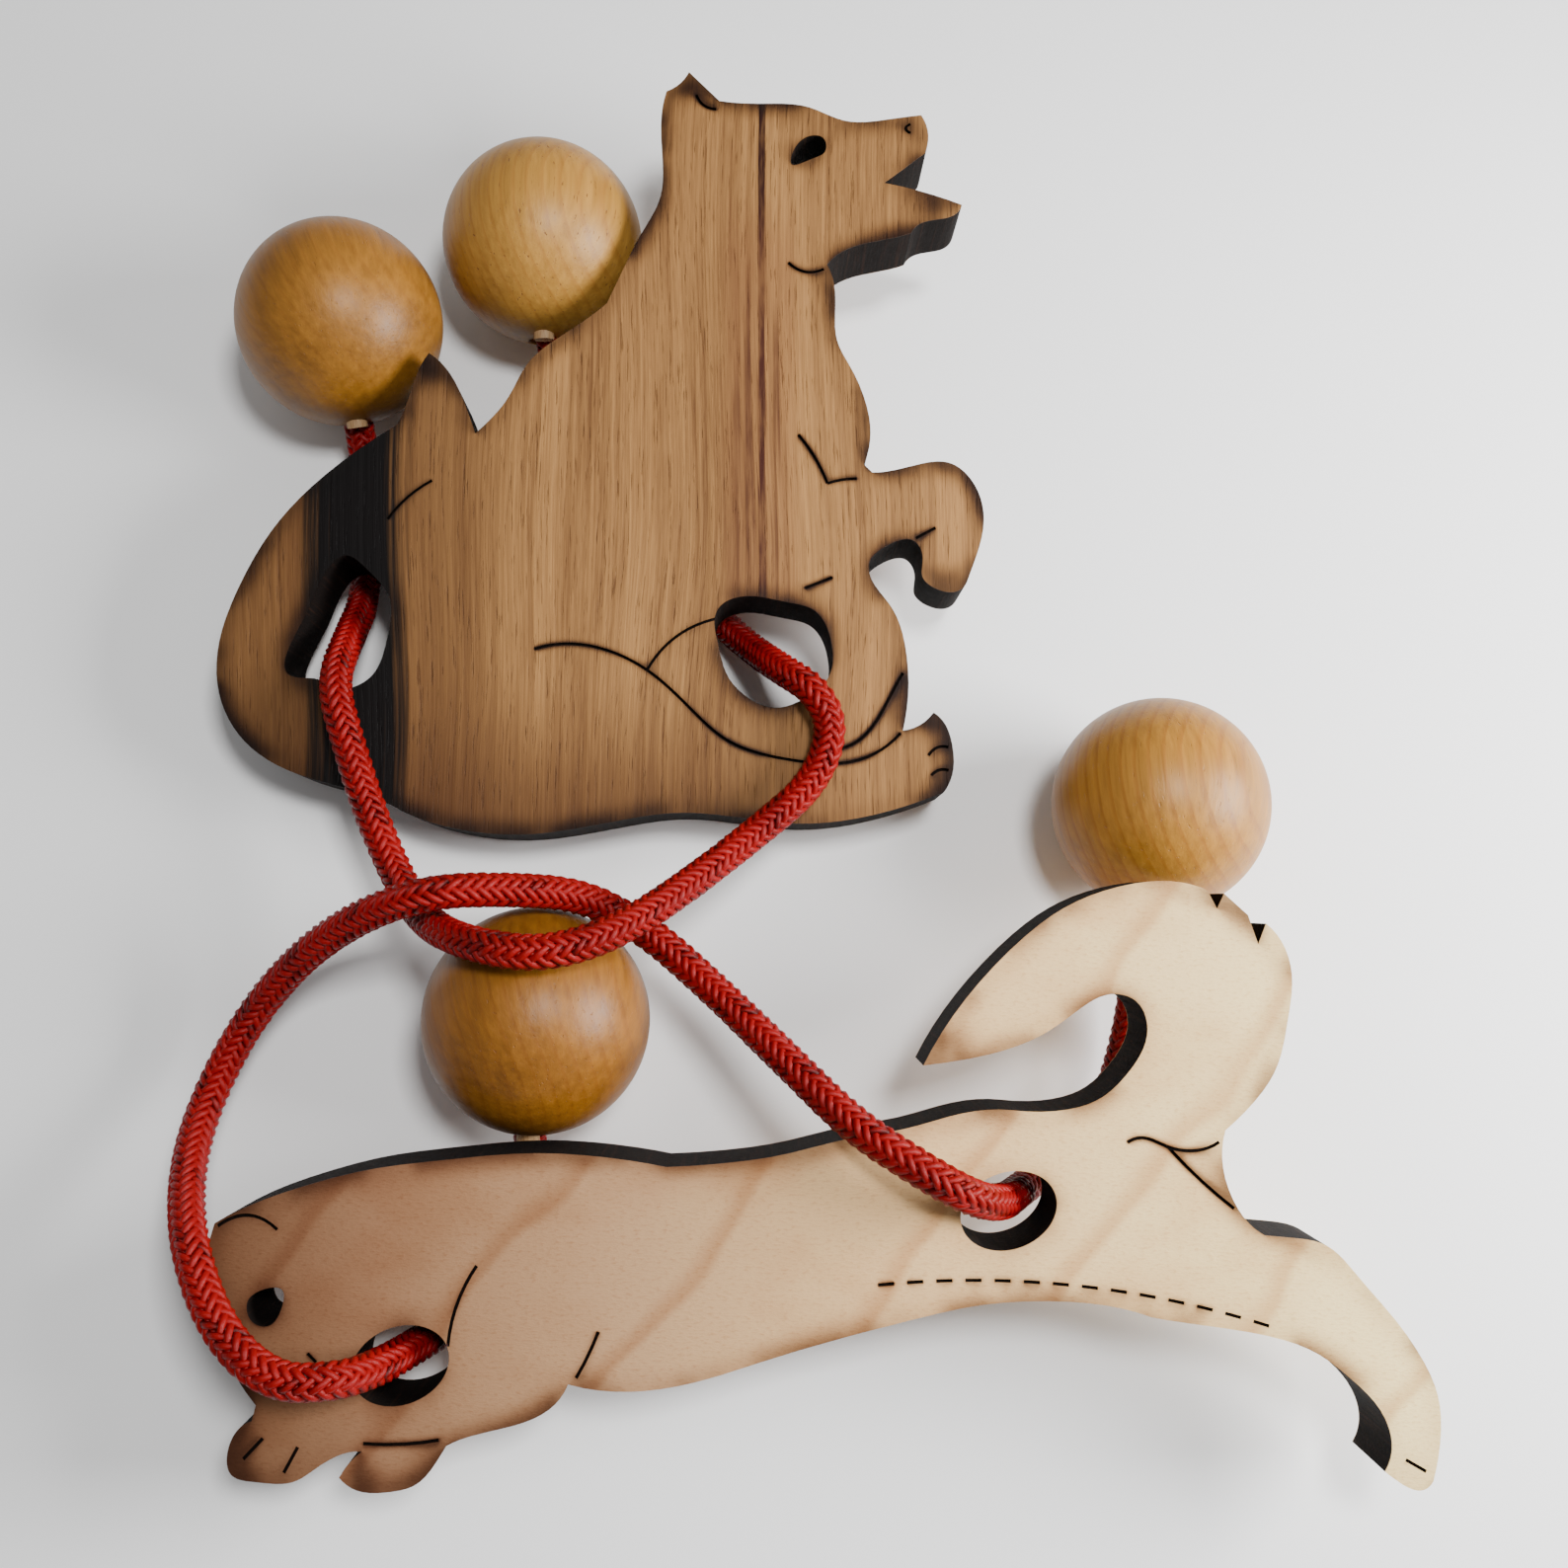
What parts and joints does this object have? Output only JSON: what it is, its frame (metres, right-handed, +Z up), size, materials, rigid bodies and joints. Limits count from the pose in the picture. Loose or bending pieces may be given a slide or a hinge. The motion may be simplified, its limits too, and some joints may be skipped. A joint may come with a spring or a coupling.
{
  "type": "string and ball disentanglement puzzle",
  "caption": "Wooden disentanglement puzzle: a flat sitting dog and a flat leaping fox, each threaded with a red cord that ends in wooden balls, with the cords hooked through each other.",
  "frame": {"origin": "middle of the puzzle's footprint, on the table it lies on, measured without the cords", "axes": "+X to the right along both figures, +Y from the fox to the dog, +Z up out of the table"},
  "size_m": [0.1358, 0.1676, 0.0298],
  "materials": {
    "walnut": "sanded, uncoated, with charred sawn edges",
    "maple": "sanded, uncoated, with charred sawn edges",
    "ball_wood": "turned and oiled",
    "peg_wood": "plain",
    "red_cord": "braided"
  },
  "bodies": {
    "fox": {"fox_figure": "maple", "fox_cord": "red_cord"},
    "dog": {"dog_figure": "walnut", "dog_cord": "red_cord"},
    "dog_tail_ball": {"dog_tail_ball": "ball_wood", "dog_tail_peg": "peg_wood"},
    "dog_back_ball": {"dog_back_ball": "ball_wood", "dog_back_peg": "peg_wood"},
    "fox_head_ball": {"fox_head_ball": "ball_wood", "fox_head_peg": "peg_wood"},
    "fox_tail_ball": {"fox_tail_ball": "ball_wood", "fox_tail_peg": "peg_wood"}
  },
  "joints": [
    {"name": "pull_apart", "type": "slide", "parent": "fox", "child": "dog", "axis": [0, 1, 0], "range_m": [0, 0.012], "deforming": ["dog_cord", "fox_cord"]},
    {"name": "dog_tail_twist", "type": "hinge", "parent": "dog", "child": "dog_tail_ball", "pos_m": [-0.05511, 0.05359, 0.0127], "axis": [0.1439, -0.8561, -0.4964], "range_deg": [-180, 180], "stiffness_Nm_per_rad": 0.001},
    {"name": "dog_back_twist", "type": "hinge", "parent": "dog", "child": "dog_back_ball", "pos_m": [-0.02998, 0.06558, 0.0127], "axis": [0.0238, -0.9427, -0.3327], "range_deg": [-180, 180], "stiffness_Nm_per_rad": 0.001},
    {"name": "fox_head_twist", "type": "hinge", "parent": "fox", "child": "fox_head_ball", "pos_m": [-0.02785, -0.03417, 0.0127], "axis": [-0.0603, -0.9045, -0.4221], "range_deg": [-180, 180], "stiffness_Nm_per_rad": 0.001},
    {"name": "fox_tail_twist", "type": "hinge", "parent": "fox", "child": "fox_tail_ball", "pos_m": [0.04494, -0.00927, 0.0127], "axis": [-0.1178, -0.9421, -0.314], "range_deg": [-180, 180], "stiffness_Nm_per_rad": 0.001}
  ]
}
